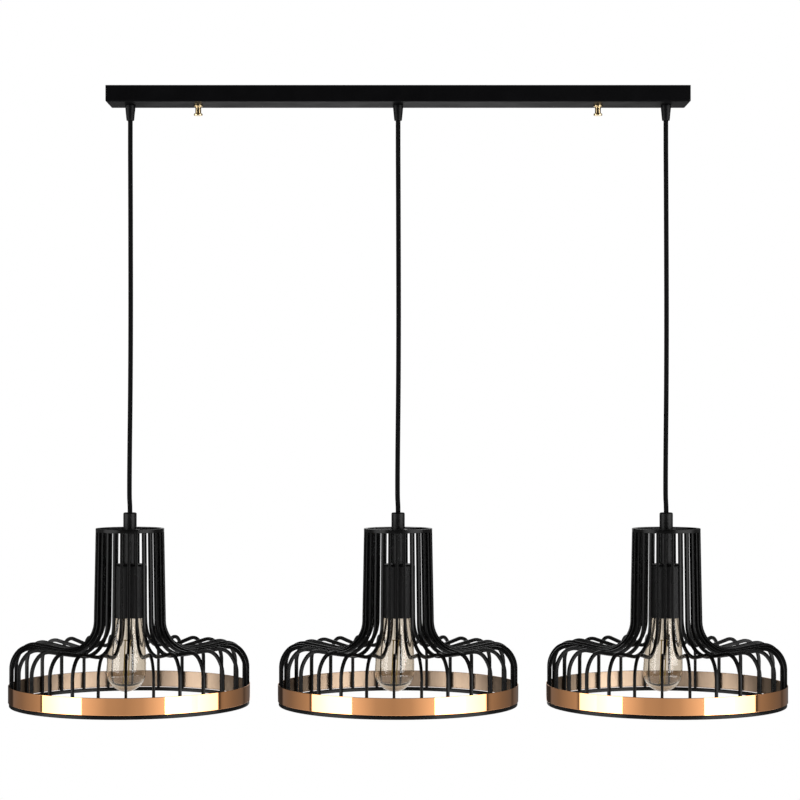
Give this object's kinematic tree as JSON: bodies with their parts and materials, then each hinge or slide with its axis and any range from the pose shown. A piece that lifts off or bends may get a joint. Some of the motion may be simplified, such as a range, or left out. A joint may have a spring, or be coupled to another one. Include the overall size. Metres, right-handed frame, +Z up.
{
  "type": "island chandelier",
  "caption": "Black ceiling bar with a row of cord pendants, each a flared wire cage shade with a polished copper rim band and a clear amber bulb.",
  "frame": {"origin": "centre of the ceiling strap's two screw holes, on the ceiling plane", "axes": "+Z up to the ceiling, +X along the bar to the right as pictured, -Y towards the viewer"},
  "size_m": [1.1642, 0.3602, 0.9238],
  "materials": {
    "black_sheet": "satin black powder coat on folded sheet",
    "black_wire": "matt black powder coat on flat wire",
    "black_tube": "matt black paint on turned and spun metal",
    "copper_plate": "polished copper plate",
    "brass_nut": "turned brass",
    "contact_brass": "plain brass",
    "zinc_steel": "zinc plate",
    "block_plastic": "moulded",
    "gland_plastic": "moulded black",
    "holder_plastic": "moulded black",
    "textile_cord": "black braid",
    "lead_sheath": "plain sheath",
    "cap_metal": "rolled thread",
    "amber_glass": "clear amber glass",
    "filament_gold": "coated filaments on a glass stem"
  },
  "bodies": {
    "ceiling_bar": {"canopy_shell": "black_sheet", "ceiling_strap": "zinc_steel", "strap_studs": "zinc_steel", "terminal_block": "block_plastic", "terminal_screws": "contact_brass", "left_gland": "gland_plastic", "middle_gland": "gland_plastic", "right_gland": "gland_plastic", "gland_nuts": "gland_plastic", "cord_tails": "lead_sheath"},
    "left_nut": {"left_thumb_nut": "brass_nut"},
    "right_nut": {"right_thumb_nut": "brass_nut"},
    "left_hanger": {"left_cord": "textile_cord"},
    "left_shade": {"left_cord_grip": "black_tube", "left_grip_screw": "zinc_steel", "left_nipple": "zinc_steel", "left_inner_lead": "lead_sheath", "left_stem_tube": "black_tube", "left_cage_top_plate": "black_wire", "left_cage_wires": "black_wire", "left_cage_hoop": "black_wire", "left_copper_band": "copper_plate", "left_holder_cup": "black_tube", "left_lamp_holder": "holder_plastic", "left_socket_contacts": "contact_brass"},
    "left_bulb": {"left_bulb_cap": "cap_metal", "left_bulb_glass": "amber_glass", "left_bulb_filament": "filament_gold"},
    "middle_hanger": {"middle_cord": "textile_cord"},
    "middle_shade": {"middle_cord_grip": "black_tube", "middle_grip_screw": "zinc_steel", "middle_nipple": "zinc_steel", "middle_inner_lead": "lead_sheath", "middle_stem_tube": "black_tube", "middle_cage_top_plate": "black_wire", "middle_cage_wires": "black_wire", "middle_cage_hoop": "black_wire", "middle_copper_band": "copper_plate", "middle_holder_cup": "black_tube", "middle_lamp_holder": "holder_plastic", "middle_socket_contacts": "contact_brass"},
    "middle_bulb": {"middle_bulb_cap": "cap_metal", "middle_bulb_glass": "amber_glass", "middle_bulb_filament": "filament_gold"},
    "right_hanger": {"right_cord": "textile_cord"},
    "right_shade": {"right_cord_grip": "black_tube", "right_grip_screw": "zinc_steel", "right_nipple": "zinc_steel", "right_inner_lead": "lead_sheath", "right_stem_tube": "black_tube", "right_cage_top_plate": "black_wire", "right_cage_wires": "black_wire", "right_cage_hoop": "black_wire", "right_copper_band": "copper_plate", "right_holder_cup": "black_tube", "right_lamp_holder": "holder_plastic", "right_socket_contacts": "contact_brass"},
    "right_bulb": {"right_bulb_cap": "cap_metal", "right_bulb_glass": "amber_glass", "right_bulb_filament": "filament_gold"}
  },
  "joints": [
    {"name": "left_nut_turn", "type": "hinge", "parent": "ceiling_bar", "child": "left_nut", "pos_m": [-0.3, 0, -0.03], "axis": [0, 0, 1], "continuous": true},
    {"name": "right_nut_turn", "type": "hinge", "parent": "ceiling_bar", "child": "right_nut", "pos_m": [0.3, 0, -0.03], "axis": [0, 0, 1], "continuous": true},
    {"name": "left_swing", "type": "hinge", "parent": "ceiling_bar", "child": "left_hanger", "pos_m": [-0.402, 0, -0.0523], "axis": [1, 0, 0], "range_deg": [-25, 25]},
    {"name": "left_turn", "type": "hinge", "parent": "left_hanger", "child": "left_shade", "pos_m": [-0.402, 0, -0.6363], "axis": [0, 0, 1], "range_deg": [-180, 180]},
    {"name": "left_bulb_out", "type": "slide", "parent": "left_shade", "child": "left_bulb", "axis": [0, 0, -1], "range_m": [0, 0.06]},
    {"name": "middle_swing", "type": "hinge", "parent": "ceiling_bar", "child": "middle_hanger", "pos_m": [0, 0, -0.0523], "axis": [1, 0, 0], "range_deg": [-25, 25]},
    {"name": "middle_turn", "type": "hinge", "parent": "middle_hanger", "child": "middle_shade", "pos_m": [0, 0, -0.6363], "axis": [0, 0, 1], "range_deg": [-180, 180]},
    {"name": "middle_bulb_out", "type": "slide", "parent": "middle_shade", "child": "middle_bulb", "axis": [0, 0, -1], "range_m": [0, 0.06]},
    {"name": "right_swing", "type": "hinge", "parent": "ceiling_bar", "child": "right_hanger", "pos_m": [0.402, 0, -0.0523], "axis": [1, 0, 0], "range_deg": [-25, 25]},
    {"name": "right_turn", "type": "hinge", "parent": "right_hanger", "child": "right_shade", "pos_m": [0.402, 0, -0.6363], "axis": [0, 0, 1], "range_deg": [-180, 180]},
    {"name": "right_bulb_out", "type": "slide", "parent": "right_shade", "child": "right_bulb", "axis": [0, 0, -1], "range_m": [0, 0.06]}
  ]
}
